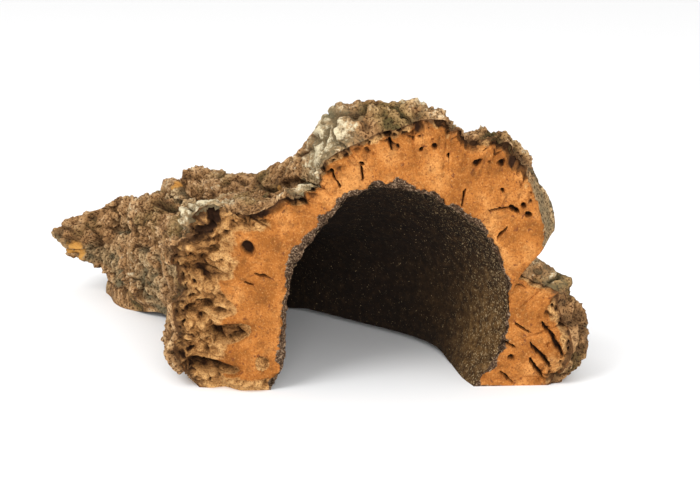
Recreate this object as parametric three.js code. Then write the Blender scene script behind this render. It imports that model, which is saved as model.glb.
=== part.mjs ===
// A tube of virgin cork oak bark, as sold for terrariums: one curved, tapering shell, open below,
// with a wide sawn mouth at the front and a small ragged mouth at the far end.
// Millimetres, +Z up, -Y out of the sawn mouth. It stands on the two long rims of the shell.
import * as THREE from "three";
import { mergeVertices } from "three/addons/utils/BufferGeometryUtils.js";

// Mesh fineness: cells round the skin and the lining, along the bark, and through its thickness.
// The rows along the bark stand closer together near its two ends.
const CELLS_ROUND = 84;
const CELLS_LINING = 36;
const CELLS_ALONG = 34;
const CELLS_MOUTH = 9;
const CELLS_THROUGH = 3;
const CROWDING = 0.4;

// The line that the shell follows over the floor, from the sawn mouth to the far end, and how far its sections turn.
const SPINE = [
  [-5, 0],
  [-40, 75],
  [-145, 196],
];
const SPINE_LENGTH = 243;
const MOUTH_TURN = THREE.MathUtils.degToRad(3);
const REAR_TURN = THREE.MathUtils.degToRad(42);

// The middle of the finished bark seen from above, in the numbers used here. It becomes the origin.
const MIDDLE = [-49.736, 110.378];

// The outline of the sawn mouth, from the left foot over the crown to the right foot: x, z, and how far
// the bark swells out just behind the cut there.
const MOUTH_OUTER = [
  [-97, 0, -2],
  [-110, 20, -1],
  [-109, 48, 1],
  [-105, 72, 3],
  [-96, 90, 3],
  [-72, 89, 2],
  [-46, 95, 2],
  [-31, 118, 6],
  [-7, 133, 16],
  [16, 139, 7],
  [40, 132, 2],
  [62, 120, 4],
  [78, 95, 5],
  [80, 70, 6],
  [85, 44, 17],
  [90, 18, 16],
  [79, 0, 10],
];
const SWELL_LENGTH = 9;
const MOUTH_INNER = [
  [-63, 0],
  [-56, 16],
  [-54, 46],
  [-49, 66],
  [-28, 95],
  [-8, 105],
  [20, 99],
  [46, 79],
  [57, 50],
  [54, 22],
  [41, 0],
];

// Plain arches that the mouth's outline turns into further back: place along the spine, reach to the left
// and right, height and squareness of the shoulders, of the outer skin and then of the lining.
const ARCHES = [
  { at: 0.0, left: 98, right: 96, crown: 118, square: 0.3, innerLeft: 53, innerRight: 57, vault: 100 },
  { at: 0.3, left: 82, right: 92, crown: 97, square: 0.3, innerLeft: 45, innerRight: 60, vault: 76 },
  { at: 0.5, left: 68, right: 72, crown: 82, square: 0.35, innerLeft: 37, innerRight: 42, vault: 58 },
  { at: 0.7, left: 50, right: 55, crown: 74, square: 0.4, innerLeft: 25, innerRight: 28, vault: 46 },
  { at: 0.85, left: 42, right: 44, crown: 66, square: 0.45, innerLeft: 20, innerRight: 22, vault: 38 },
  { at: 1.0, left: 31, right: 36, crown: 59, square: 0.5, innerLeft: 16, innerRight: 17, vault: 28 },
];
const MOUTH_FADES_BY = 0.46;

// Deep furrows that split the skin into lobes: place round the section, depth at the cut, depth further back, half width.
const FURROWS = [
  { round: 0.405, mouth: 2, back: 15, half: 0.06 },
  { round: 0.61, mouth: 5, back: 5, half: 0.02 },
  { round: 0.832, mouth: 22, back: 5, half: 0.036 },
];
const FURROW_CLOSES = 16;

// Lumps and long ridges of the outer skin.
const LUMP_SIZE = 27;
const LUMP_HEIGHT = 5;
const KNOB_SIZE = 14;
const KNOB_HEIGHT = 6;
const KNOBS_AT_CUT = 0.35;
const GRAIN = [-0.6, 0.8];
const STRETCH_ALONG = 1.7;
const RELIEF_GROWS = 26;
const RIDGE_COUNT = 10;
const RIDGE_HEIGHT = 4;
const LINING_LUMP = 2;

// Single knobs and hollows of the skin: centre, radius and height.
const KNOBS = [
  { centre: [-117, 142, 76], radius: 13, height: 11 },
  { centre: [-158, 172, 60], radius: 11, height: 5 },
  { centre: [52, 12, 131], radius: 6, height: 6 },
];

// The broken spur at the far end: where it grows from, how wide its root is, and its reach.
const SPUR = { root: [-169, 179, 33], radius: 16, reach: [-44, 3, -2] };
const SPUR_BLUNTNESS = 1.5;

// The left leg's outer bark is broken away in front of the saw cut: how far back it lies, and where it starts.
const BREAK_DEPTH = 10;
const BREAK_FROM = 0.47;
const BREAK_WANDER = 0.13;
const BREAK_WANDER_SIZE = 14;
const BREAK_SLOPE = 0.2;
const BREAK_TOP = 0.33;
const BREAK_FADE = 0.06;
const CRAG_SIZE = 7;
const CRAG_SHARE = 0.6;
const HOLLOWS = [
  { x: -82, z: 29, long: 11, high: 5, tilt: 15, depth: 10 },
  { x: -96, z: 40, long: 7, high: 6, tilt: 50, depth: 8 },
  { x: -93, z: 62, long: 8, high: 9, tilt: 20, depth: 7 },
  { x: -90, z: 11, long: 13, high: 3.5, tilt: -8, depth: 9 },
  { x: -43, z: 103, long: 7, high: 5, tilt: 18, depth: 6 },
];

// The far end is torn, not sawn. The tear wanders along the skin's length round the section.
const TEAR_DEPTH = 9;
const TEAR_SIZE = 15;
const SKIN_ROUND_LENGTH = 330;

// The rims stand on the floor at three places and lift a little between them.
const RIM_LIFT = 3.5;
const RIM_FADE = 22;
const LEFT_BEARINGS = [
  [0, 0.16],
  [0.86, 1],
];
const RIGHT_BEARINGS = [
  [0, 0.2],
  [0.7, 0.84],
];

const clamp = THREE.MathUtils.clamp;
const lerp = THREE.MathUtils.lerp;
const smooth = (x, from, to) => THREE.MathUtils.smoothstep(x, from, to);

// A repeatable number from 0 to 1 for one corner of a lattice.
function cornerValue(i, j, k) {
  let h = Math.imul(i, 374761393) ^ Math.imul(j, 668265263) ^ Math.imul(k, 974634777);
  h = Math.imul(h ^ (h >>> 13), 1274126177);
  h = Math.imul(h ^ (h >>> 15), 461845907);
  return ((h ^ (h >>> 16)) >>> 0) / 4294967295;
}

// Smooth noise from -1 to 1 with one corner value to each unit cube.
function noise(x, y, z) {
  const [i, j, k] = [Math.floor(x), Math.floor(y), Math.floor(z)];
  const [u, v, w] = [x - i, y - j, z - k].map((f) => f * f * f * (f * (f * 6 - 15) + 10));
  const edge = (dj, dk) => lerp(cornerValue(i, j + dj, k + dk), cornerValue(i + 1, j + dj, k + dk), u);
  return 2 * lerp(lerp(edge(0, 0), edge(1, 0), v), lerp(edge(0, 1), edge(1, 1), v), w) - 1;
}

// A smooth curve through evenly numbered values, read at a place from 0 to 1.
function through(values, place) {
  const last = values.length - 1;
  const i = Math.min(Math.floor(clamp(place, 0, 1) * last), last - 1);
  const f = clamp(place, 0, 1) * last - i;
  const at = (k) => values[clamp(k, 0, last)];
  const [a, b, c, d] = [at(i - 1), at(i), at(i + 1), at(i + 2)];
  return b + 0.5 * f * (c - a + f * (2 * a - 5 * b + 4 * c - d + f * (3 * (b - c) + d - a)));
}

// An outline as a function from 0 to 1 that runs evenly along its length.
function outline(points) {
  const steps = [0];
  points.slice(1).forEach(([x, z], i) => steps.push(steps[i] + Math.hypot(x - points[i][0], z - points[i][1])));
  const total = steps[steps.length - 1];
  return (round) => {
    const length = clamp(round, 0, 1) * total;
    let i = steps.findIndex((s) => s > length) - 1;
    if (i < 0) i = points.length - 2;
    const place = (i + (length - steps[i]) / (steps[i + 1] - steps[i])) / (points.length - 1);
    return points[0].map((_, k) => through(points.map((p) => p[k]), place));
  };
}

const mouthOuter = outline(MOUTH_OUTER);
const mouthInner = outline(MOUTH_INNER);

// One measure of the arches at a place along the spine.
function archSize(name, along) {
  const last = ARCHES.length - 1;
  const next = clamp(ARCHES.findIndex((a) => a.at > along), 1, last);
  const i = along >= 1 ? last : next;
  const [a, b] = [ARCHES[i - 1], ARCHES[i]];
  const place = (i - 1 + (clamp(along, 0, 1) - a.at) / (b.at - a.at)) / last;
  return through(ARCHES.map((arch) => arch[name]), place);
}

// A plain arch's point, with square shoulders, at a place round it.
function arch(round, left, right, height, square) {
  const angle = Math.PI * (1 - round);
  const side = Math.cos(angle);
  const reach = Math.abs(side) ** (1 - square);
  return [side < 0 ? -left * reach : right * reach, height * Math.abs(Math.sin(angle)) ** (1 - square)];
}

const spineAt = (along) =>
  [0, 1].map((i) => (1 - along) ** 2 * SPINE[0][i] + 2 * along * (1 - along) * SPINE[1][i] + along ** 2 * SPINE[2][i]);

// How far the section has turned from the mouth's outline into a plain arch.
const archShare = (along) => smooth(along, -0.02, MOUTH_FADES_BY);

function furrowDepth(round, along) {
  const depth = FURROWS.map((f) => {
    const share = Math.exp((-along * SPINE_LENGTH) / FURROW_CLOSES);
    const v = Math.max(0, 1 - Math.abs(round - f.round) / f.half);
    return lerp(f.back * (1 - 0.6 * along), f.mouth, share) * v;
  });
  return depth.reduce((a, b) => a + b, 0);
}

// A point of the section as sideways reach and height, before any lumps: skin at 1 through, lining at 0.
function sectionPoint(round, along, skin) {
  const share = archShare(along);
  const [x, z] = skin ? mouthOuter(round) : mouthInner(round);
  const [left, right, height] = skin ? ["left", "right", "crown"] : ["innerLeft", "innerRight", "vault"];
  const sizes = [left, right, height, "square"].map((name) => archSize(name, along));
  const [a, h] = arch(round, ...sizes);
  return [lerp(x - SPINE[0][0], a, share), lerp(z, h, share)];
}

// Puts a section's sideways reach and height into space. Past the far end the bark runs straight on.
function placed(reach, height, along) {
  const turn = lerp(MOUTH_TURN, REAR_TURN, smooth(along, 0, 1));
  const [x, y] = spineAt(Math.min(along, 1));
  const past = Math.max(0, along - 1) * SPINE_LENGTH;
  return new THREE.Vector3(
    x + reach * Math.cos(turn) - past * Math.sin(turn),
    y + reach * Math.sin(turn) + past * Math.cos(turn),
    height,
  );
}

// The skin's or lining's point, moved out of the plain section by the relief there.
function shellPoint(round, along, skin) {
  const step = 0.006;
  const [reach, height] = sectionPoint(round, along, skin);
  const [reach0, height0] = sectionPoint(Math.max(0, round - step), along, skin);
  const [reach1, height1] = sectionPoint(Math.min(1, round + step), along, skin);
  const length = Math.hypot(reach1 - reach0, height1 - height0);
  const out = (skin ? skinHeight : liningHeight)(placed(reach, height, along), round, along);
  return placed(
    reach - ((height1 - height0) / length) * out,
    height + ((reach1 - reach0) / length) * out,
    along,
  );
}

// Lumps that are longer along the bark than across it.
function lumps(p, size) {
  const along = p.x * GRAIN[0] + p.y * GRAIN[1];
  const aside = p.x * GRAIN[1] - p.y * GRAIN[0];
  return noise(along / (size * STRETCH_ALONG), aside / size, p.z / size);
}

function skinHeight(p, round, along) {
  const back = along * SPINE_LENGTH;
  const swell = mouthOuter(round)[2] * (1 - Math.exp(-back / SWELL_LENGTH)) * (1 - along);
  const wander = 0.35 * lumps(p, LUMP_SIZE * 1.6);
  const ridge = Math.abs(Math.sin(Math.PI * (round * RIDGE_COUNT + wander + 0.3 * along)));
  const raised = smooth(back, 0, RELIEF_GROWS);
  const knobs = KNOBS.map((k) => k.height * Math.exp(-((p.distanceTo(new THREE.Vector3(...k.centre)) / k.radius) ** 2)));
  return (
    swell -
    furrowDepth(round, along) +
    raised * (LUMP_HEIGHT * lumps(p, LUMP_SIZE) + RIDGE_HEIGHT * (Math.sqrt(ridge) - 0.6)) +
    lerp(KNOBS_AT_CUT, 1, raised) * KNOB_HEIGHT * lumps(p, KNOB_SIZE) +
    knobs.reduce((a, b) => a + b, 0)
  );
}

const liningHeight = (p, round, along) => LINING_LUMP * lumps(p, LUMP_SIZE) * smooth(along, 0, 0.1);

// How far the mouth's face lies behind the saw cut: the broken bark of the left leg, and the hollows.
function breakDepth(round, through01) {
  const x = lerp(mouthInner(round)[0], mouthOuter(round)[0], through01);
  const z = lerp(mouthInner(round)[1], mouthOuter(round)[1], through01);
  const leg = 1 - smooth(round, BREAK_TOP - BREAK_FADE, BREAK_TOP);
  const from = BREAK_FROM + BREAK_WANDER * noise(x / BREAK_WANDER_SIZE, z / BREAK_WANDER_SIZE, 2.5);
  const broken = BREAK_DEPTH * leg * smooth(through01, from, from + BREAK_SLOPE);
  const hollows = HOLLOWS.map((h) => {
    const tilt = THREE.MathUtils.degToRad(h.tilt);
    const u = ((x - h.x) * Math.cos(tilt) + (z - h.z) * Math.sin(tilt)) / h.long;
    const v = ((z - h.z) * Math.cos(tilt) - (x - h.x) * Math.sin(tilt)) / h.high;
    return h.depth * Math.exp(-((u * u + v * v) ** 2));
  });
  const crags = broken * (1 + CRAG_SHARE * noise(x / CRAG_SIZE, z / CRAG_SIZE, 3.5));
  return crags + hollows.reduce((a, b) => a + b, 0);
}

const tearDepth = (round, through01) =>
  TEAR_DEPTH * (noise((round * SKIN_ROUND_LENGTH) / TEAR_SIZE, through01 * 1.4, 9.5) - 0.3 * through01);

// How much a rim is lifted off the floor.
function rimLift(along, bearings) {
  const near = bearings.map(([a, b]) => Math.max(a - along, along - b, 0));
  return RIM_LIFT * smooth(Math.min(...near), 0, 0.09);
}

// A point of the bark: round from the left foot to the right foot, along from the mouth to the far end,
// through from the lining to the skin, each from 0 to 1.
function barkPoint(round, along01, through01) {
  const from = breakDepth(round, through01) / SPINE_LENGTH;
  const to = 1 + tearDepth(round, through01) / SPINE_LENGTH;
  const along = lerp(from, to, along01);
  const p = shellPoint(round, along, false).lerp(shellPoint(round, along, true), through01);
  const rim = lerp(rimLift(along, LEFT_BEARINGS), rimLift(along, RIGHT_BEARINGS), smooth(round, 0.4, 0.6));
  p.z = Math.max(0, p.z);
  p.z += rim * Math.max(0, 1 - p.z / RIM_FADE);
  const away = p.distanceTo(new THREE.Vector3(...SPUR.root)) / SPUR.radius;
  const pull = Math.exp(-(away ** (2 * SPUR_BLUNTNESS)));
  p.addScaledVector(new THREE.Vector3(...SPUR.reach), pull * smooth(p.z, 0, 16));
  if (round === 0 || round === 1) p.z = rim;
  return p;
}

// Joins each row of points to the next with triangles. The rows may differ in their number of points.
function joinRows(rows, triangles, turned) {
  const add = (a, b, c) => triangles.push(...(turned ? [a, c, b] : [a, b, c]));
  rows.slice(1).forEach((row, r) => {
    const before = rows[r];
    const [m, n] = [before.length - 1, row.length - 1];
    let [i, j] = [0, 0];
    while (i < m || j < n) {
      const advance = j === n || (i < m && (i + 1) * n <= (j + 1) * m);
      if (advance) add(before[i], before[++i], row[j]);
      else add(before[i], row[j + 1], row[j++]);
    }
  });
}

const places = (cells) => Array.from({ length: cells + 1 }, (_, i) => i / cells);

// The six sides of the shell. Sides that meet share the points of their common edge.
function corkBark() {
  const triangles = [];
  const alongs = places(CELLS_ALONG).map((v) => v - (CROWDING * Math.sin(2 * Math.PI * v)) / (2 * Math.PI));
  const roundCells = (t) => (t === 0 ? CELLS_LINING : CELLS_ROUND);
  const throughCells = (v) => (v === 0 ? CELLS_MOUTH : CELLS_THROUGH);
  const skin = alongs.map((v) => places(CELLS_ROUND).map((u) => barkPoint(u, v, 1)));
  const lining = alongs.map((v) => places(CELLS_LINING).map((u) => barkPoint(u, v, 0)));
  const mouth = places(CELLS_MOUTH).map((t) => places(roundCells(t)).map((u) => barkPoint(u, 0, t)));
  const rear = places(CELLS_THROUGH).map((t) => places(roundCells(t)).map((u) => barkPoint(u, 1, t)));
  const leftRim = alongs.map((v) => places(throughCells(v)).map((t) => barkPoint(0, v, t)));
  const rightRim = alongs.map((v) => places(throughCells(v)).map((t) => barkPoint(1, v, t)));
  joinRows(skin, triangles, false);
  joinRows(lining, triangles, true);
  joinRows(mouth, triangles, false);
  joinRows(rear, triangles, true);
  joinRows(leftRim, triangles, false);
  joinRows(rightRim, triangles, true);
  const geometry = new THREE.BufferGeometry().setFromPoints(triangles);
  geometry.translate(-MIDDLE[0], -MIDDLE[1], 0);
  return mergeVertices(geometry, 1e-4);
}

const bark = new THREE.Mesh(
  corkBark(),
  new THREE.MeshStandardMaterial({ color: 0x8a6f55, roughness: 0.95, metalness: 0 }),
);
bark.name = "cork_bark";

const part = new THREE.Group();
part.add(bark);
export default part;
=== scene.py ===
import math

import bpy
import numpy as np
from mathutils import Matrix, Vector


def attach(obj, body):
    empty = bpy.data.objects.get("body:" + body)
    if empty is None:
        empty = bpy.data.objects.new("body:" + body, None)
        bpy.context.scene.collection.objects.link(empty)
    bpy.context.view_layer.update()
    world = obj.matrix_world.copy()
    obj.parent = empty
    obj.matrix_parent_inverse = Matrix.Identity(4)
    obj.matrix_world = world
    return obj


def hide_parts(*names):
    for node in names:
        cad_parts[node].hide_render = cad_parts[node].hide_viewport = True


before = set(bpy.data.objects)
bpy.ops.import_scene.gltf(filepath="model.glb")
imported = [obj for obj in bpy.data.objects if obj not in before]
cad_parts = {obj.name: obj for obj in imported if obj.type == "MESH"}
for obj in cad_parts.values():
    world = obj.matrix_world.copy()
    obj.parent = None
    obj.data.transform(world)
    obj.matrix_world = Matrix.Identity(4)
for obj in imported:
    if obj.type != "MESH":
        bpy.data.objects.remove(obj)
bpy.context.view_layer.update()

# The sawn mouth
# The bark was stripped from the tree as a curved sheet and sawn straight across, which gives its mouth.
# Places and sizes are in millimetres, with x = 0 near the middle of the mouth, as on the solid. MIDDLE is
# where the middle of the whole piece lies.

MIDDLE = (-49.736, 110.378)

# The outer edge of the cut from the left foot over the crown to the right foot: x, z, and how far the skin
# swells out behind it. Then the inner edge: x, z.
MOUTH_OUTER = [
    (-97, 0, -2),
    (-110, 20, -1),
    (-109, 48, 1),
    (-105, 72, 3),
    (-96, 90, 3),
    (-72, 89, 2),
    (-46, 95, 2),
    (-31, 118, 6),
    (-7, 133, 16),
    (16, 139, 7),
    (40, 132, 2),
    (62, 120, 4),
    (78, 95, 5),
    (80, 70, 6),
    (85, 44, 17),
    (90, 18, 16),
    (79, 0, 10),
]
MOUTH_INNER = [
    (-63, 0),
    (-56, 16),
    (-54, 46),
    (-49, 66),
    (-28, 95),
    (-8, 105),
    (20, 99),
    (46, 79),
    (57, 50),
    (54, 22),
    (41, 0),
]


def smooth(x, low, high):
    f = np.clip((x - low) / (high - low), 0, 1)
    return f * f * (3 - 2 * f)


def mix(a, b, share):
    return a + (b - a) * share


def through(values, place):
    """A smooth curve through evenly numbered values, read at places from 0 to 1."""
    values = np.asarray(values, float)
    last = len(values) - 1
    place = np.clip(place, 0, 1) * last
    i = np.minimum(np.floor(place).astype(int), last - 1)
    f = place - i
    a, b, c, d = (values[np.clip(i + k, 0, last)] for k in (-1, 0, 1, 2))
    return b + 0.5 * f * (c - a + f * (2 * a - 5 * b + 4 * c - d + f * (3 * (b - c) + d - a)))


def outline(points, rounds):
    """The columns of an outline, spread evenly along its length and read at places from 0 to 1."""
    points = np.asarray(points, float)
    steps = np.append(0, np.cumsum(np.hypot(*np.diff(points[:, :2], axis=0).T)))
    place = np.interp(np.clip(rounds, 0, 1) * steps[-1], steps, np.linspace(0, 1, len(points)))
    return [through(column, place) for column in points.T]


# The shell behind the mouth
# Cork oak bark is one thick, curved shell that follows the trunk. Further back its sections turn into
# plain arches, lower and narrower, which swing round to the left.

SPINE = [(-5, 0), (-40, 75), (-145, 196)]
SPINE_LENGTH = 243
MOUTH_TURN = math.radians(3)
REAR_TURN = math.radians(42)
MOUTH_FADES_BY = 0.46
ARCH_PLACES = [0.0, 0.3, 0.5, 0.7, 0.85, 1.0]
SKIN_ARCH = {
    "left": [98, 82, 68, 50, 42, 31],
    "right": [96, 92, 72, 55, 44, 36],
    "height": [118, 97, 82, 74, 66, 59],
}
LINING_ARCH = {
    "left": [53, 45, 37, 25, 20, 16],
    "right": [57, 60, 42, 28, 22, 17],
    "height": [100, 76, 58, 46, 38, 28],
}
SQUARENESS = [0.3, 0.3, 0.35, 0.4, 0.45, 0.5]


def arch_size(values, along):
    place = np.interp(along, ARCH_PLACES, np.linspace(0, 1, len(ARCH_PLACES)))
    return through(values, place)


def section_point(rounds, along, skin):
    """Sideways reach and height of the plain section."""
    share = smooth(along, -0.02, MOUTH_FADES_BY)
    x, z = outline(MOUTH_OUTER if skin else MOUTH_INNER, rounds)[:2]
    sizes = {key: arch_size(v, along) for key, v in (SKIN_ARCH if skin else LINING_ARCH).items()}
    bend = 1 - arch_size(SQUARENESS, along)
    angle = math.pi * (1 - rounds)
    side = np.cos(angle)
    reach = np.where(side < 0, -sizes["left"], sizes["right"]) * np.abs(side) ** bend
    height = sizes["height"] * np.abs(np.sin(angle)) ** bend
    return mix(x - SPINE[0][0], reach, share), mix(z, height, share)


def placed(reach, height, along):
    """Puts a section's reach and height into space, in millimetres."""
    turn = mix(MOUTH_TURN, REAR_TURN, smooth(along, 0, 1))
    f = np.minimum(along, 1)
    x, y = ((1 - f) ** 2 * a + 2 * f * (1 - f) * b + f**2 * c for a, b, c in zip(*SPINE))
    past = np.maximum(0, along - 1) * SPINE_LENGTH
    return np.stack(
        [
            x + reach * np.cos(turn) - past * np.sin(turn),
            y + reach * np.sin(turn) + past * np.cos(turn),
            height,
        ],
        axis=-1,
    )


# The lumps, ridges and furrows
# Bark splits as the tree grows, so deep furrows part its skin into lobes, with lumps and ridges along the
# grain. They are the same ones as on the solid.

FURROWS = [
    {"round": 0.405, "mouth": 2, "back": 15, "half": 0.06},
    {"round": 0.61, "mouth": 5, "back": 5, "half": 0.02},
    {"round": 0.832, "mouth": 22, "back": 5, "half": 0.036},
]
FURROW_CLOSES = 16
SWELL_LENGTH = 9
LUMP_SIZE = 27
LUMP_HEIGHT = 5
KNOB_SIZE = 14
KNOB_HEIGHT = 6
KNOBS_AT_CUT = 0.35
GRAIN = (-0.6, 0.8)
STRETCH_ALONG = 1.7
RELIEF_GROWS = 26
RIDGE_COUNT = 10
RIDGE_HEIGHT = 4
RIDGE_WANDER = 0.35
RIDGE_SKEW = 0.3
LINING_LUMP = 2
SLOPE_STEP = 0.006
KNOBS = [
    {"centre": (-117, 142, 76), "radius": 13, "height": 11},
    {"centre": (-158, 172, 60), "radius": 11, "height": 5},
    {"centre": (52, 12, 131), "radius": 6, "height": 6},
]
SPUR = {"root": (-169, 179, 33), "radius": 16, "reach": (-44, 3, -2)}
SPUR_BLUNTNESS = 1.5


def corner_value(i, j, k):
    """A repeatable number from 0 to 1 for each corner of a lattice."""
    i, j, k = (v.astype(np.int64).astype(np.uint32) for v in (i, j, k))
    h = (i * np.uint32(374761393)) ^ (j * np.uint32(668265263)) ^ (k * np.uint32(974634777))
    h = (h ^ (h >> np.uint32(13))) * np.uint32(1274126177)
    h = (h ^ (h >> np.uint32(15))) * np.uint32(461845907)
    return (h ^ (h >> np.uint32(16))).astype(float) / 4294967295


def noise(x, y, z):
    """Smooth noise from -1 to 1, one corner value to each unit cube."""
    x, y, z = np.broadcast_arrays(x, y, z)
    i, j, k = np.floor(x), np.floor(y), np.floor(z)
    u, v, w = (f * f * f * (f * (f * 6 - 15) + 10) for f in (x - i, y - j, z - k))

    def edge(dj, dk):
        return mix(corner_value(i, j + dj, k + dk), corner_value(i + 1, j + dj, k + dk), u)

    return 2 * mix(mix(edge(0, 0), edge(1, 0), v), mix(edge(0, 1), edge(1, 1), v), w) - 1


def along_grain(p):
    return p[..., 0] * GRAIN[0] + p[..., 1] * GRAIN[1]


def across_grain(p):
    return p[..., 0] * GRAIN[1] - p[..., 1] * GRAIN[0]


def lumps(p, size):
    return noise(along_grain(p) / (size * STRETCH_ALONG), across_grain(p) / size, p[..., 2] / size)


def bump_at(p, centre, radius):
    return np.exp(-(((p - np.array(centre)) ** 2).sum(axis=-1)) / radius**2)


def furrow_depth(rounds, along):
    depth = 0
    share = np.exp(-along * SPINE_LENGTH / FURROW_CLOSES)
    for f in FURROWS:
        v = np.maximum(0, 1 - np.abs(rounds - f["round"]) / f["half"])
        depth = depth + mix(f["back"] * (1 - 0.6 * along), f["mouth"], share) * v
    return depth


def skin_height(p, rounds, along):
    back = along * SPINE_LENGTH
    swell = outline(MOUTH_OUTER, rounds)[2] * (1 - np.exp(-back / SWELL_LENGTH)) * (1 - along)
    wander = RIDGE_WANDER * lumps(p, LUMP_SIZE * 1.6)
    ridge = np.abs(np.sin(math.pi * (rounds * RIDGE_COUNT + wander + RIDGE_SKEW * along)))
    raised = smooth(back, 0, RELIEF_GROWS)
    height = swell - furrow_depth(rounds, along)
    ridges = RIDGE_HEIGHT * (np.sqrt(ridge) - 0.6)
    height = height + raised * (LUMP_HEIGHT * lumps(p, LUMP_SIZE) + ridges)
    height = height + mix(KNOBS_AT_CUT, 1, raised) * KNOB_HEIGHT * lumps(p, KNOB_SIZE)
    for k in KNOBS:
        height = height + k["height"] * bump_at(p, k["centre"], k["radius"])
    return height


def lining_height(p, rounds, along):
    return LINING_LUMP * lumps(p, LUMP_SIZE) * smooth(along, 0, 0.1)


def shell_point(rounds, along, skin):
    """A point of the skin or the lining, pushed out square to its section by its relief."""
    reach, height = section_point(rounds, along, skin)
    reach0, height0 = section_point(np.maximum(0, rounds - SLOPE_STEP), along, skin)
    reach1, height1 = section_point(np.minimum(1, rounds + SLOPE_STEP), along, skin)
    length = np.hypot(reach1 - reach0, height1 - height0)
    out = (skin_height if skin else lining_height)(placed(reach, height, along), rounds, along)
    return placed(
        reach - (height1 - height0) / length * out,
        height + (reach1 - reach0) / length * out,
        along,
    )


# The broken foot, the torn far end and the rims
# The left foot's outer bark has broken away in front of the cut and is gnawed hollow. The far end was torn
# off rather than sawn, and the two long rims stand on the floor at a few places.

BREAK_DEPTH = 10
BREAK_FROM = 0.47
BREAK_WANDER = 0.13
BREAK_WANDER_SIZE = 14
BREAK_SLOPE = 0.2
BREAK_TOP = 0.33
BREAK_FADE = 0.06
CRAG_SIZE = 7
CRAG_SHARE = 0.6
HOLLOWS = [
    {"x": -82, "z": 29, "long": 11, "high": 5, "tilt": 15, "depth": 10},
    {"x": -96, "z": 40, "long": 7, "high": 6, "tilt": 50, "depth": 8},
    {"x": -93, "z": 62, "long": 8, "high": 9, "tilt": 20, "depth": 7},
    {"x": -90, "z": 11, "long": 13, "high": 3.5, "tilt": -8, "depth": 9},
    {"x": -43, "z": 103, "long": 7, "high": 5, "tilt": 18, "depth": 6},
]
TEAR_DEPTH = 9
TEAR_SIZE = 15
SKIN_ROUND_LENGTH = 330
RIM_LIFT = 3.5
RIM_RISES_OVER = 0.09
RIM_FADE = 22
LEFT_BEARINGS = [(0, 0.16), (0.86, 1)]
RIGHT_BEARINGS = [(0, 0.2), (0.7, 0.84)]


def mouth_xz(rounds, thick):
    inner = outline(MOUTH_INNER, rounds)
    outer = outline(MOUTH_OUTER, rounds)
    return mix(inner[0], outer[0], thick), mix(inner[1], outer[1], thick)


def broken_share(rounds, thick):
    x, z = mouth_xz(rounds, thick)
    leg = 1 - smooth(rounds, BREAK_TOP - BREAK_FADE, BREAK_TOP)
    start = BREAK_FROM + BREAK_WANDER * noise(x / BREAK_WANDER_SIZE, z / BREAK_WANDER_SIZE, 2.5)
    return leg * smooth(thick - start, 0, BREAK_SLOPE)


def hollow_depth(rounds, thick):
    x, z = mouth_xz(rounds, thick)
    depth = 0
    for h in HOLLOWS:
        tilt = math.radians(h["tilt"])
        u = ((x - h["x"]) * math.cos(tilt) + (z - h["z"]) * math.sin(tilt)) / h["long"]
        v = ((z - h["z"]) * math.cos(tilt) - (x - h["x"]) * math.sin(tilt)) / h["high"]
        depth = depth + h["depth"] * np.exp(-((u * u + v * v) ** 2))
    return depth


def break_depth(rounds, thick):
    x, z = mouth_xz(rounds, thick)
    broken = broken_share(rounds, thick) * BREAK_DEPTH
    crags = broken * (1 + CRAG_SHARE * noise(x / CRAG_SIZE, z / CRAG_SIZE, 3.5))
    return crags + hollow_depth(rounds, thick)


def tear_depth(rounds, thick):
    return TEAR_DEPTH * (noise(rounds * SKIN_ROUND_LENGTH / TEAR_SIZE, thick * 1.4, 9.5) - 0.3 * thick)


def rim_lift(along, bearings):
    near = np.min([np.maximum(np.maximum(a - along, along - b), 0) for a, b in bearings], axis=0)
    return RIM_LIFT * smooth(near, 0, RIM_RISES_OVER)


def bark_point(rounds, along01, thick):
    """A point as on the solid: round from foot to foot, along from the mouth, thick from lining to skin."""
    start = break_depth(rounds, thick) / SPINE_LENGTH
    end = 1 + tear_depth(rounds, thick) / SPINE_LENGTH
    along = mix(start, end, along01)
    p = mix(shell_point(rounds, along, False), shell_point(rounds, along, True), thick[..., None])
    rim = mix(rim_lift(along, LEFT_BEARINGS), rim_lift(along, RIGHT_BEARINGS), smooth(rounds, 0.4, 0.6))
    z = np.maximum(0, p[..., 2])
    p[..., 2] = z + rim * np.maximum(0, 1 - z / RIM_FADE)
    away = np.sqrt(((p - np.array(SPUR["root"])) ** 2).sum(axis=-1)) / SPUR["radius"]
    pull = np.exp(-(away ** (2 * SPUR_BLUNTNESS))) * smooth(p[..., 2], 0, 16)
    p = p + np.array(SPUR["reach"]) * pull[..., None]
    p[..., 2] = np.where((rounds == 0) | (rounds == 1), rim, p[..., 2])
    return p


# The weathered crust
# Outside, the bark is dead, dry cork that rain and sun have split into chunks, crests and pits a few
# millimetres across. Low on the flanks it stands in upright ribs, and it is calmer in broad patches.

# The grid is closer near the left foot and near both ends.
CELLS_ROUND = 640
CELLS_ALONG = 300
LEFT_CROWDING = 1.2
END_CROWDING = 0.4
ROUNDS = np.linspace(0, 1, CELLS_ROUND + 1) ** LEFT_CROWDING
ALONGS = np.linspace(0, 1, CELLS_ALONG + 1)
ALONGS -= END_CROWDING * np.sin(2 * math.pi * ALONGS) / (2 * math.pi)
# Round the skin from rim to rim, and how far above a rim the relief has its full height.
SKIN_LENGTH = 406
RIM_FADE_LENGTH = 9

# Layers of relief: size across the grain and depth.
CREST_LAYERS = [(10.0, 2.4), (5.4, 2.0), (2.8, 1.3)]
CRUST_LAYERS = [(3.4, 0.5), (1.6, 0.45)]
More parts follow.
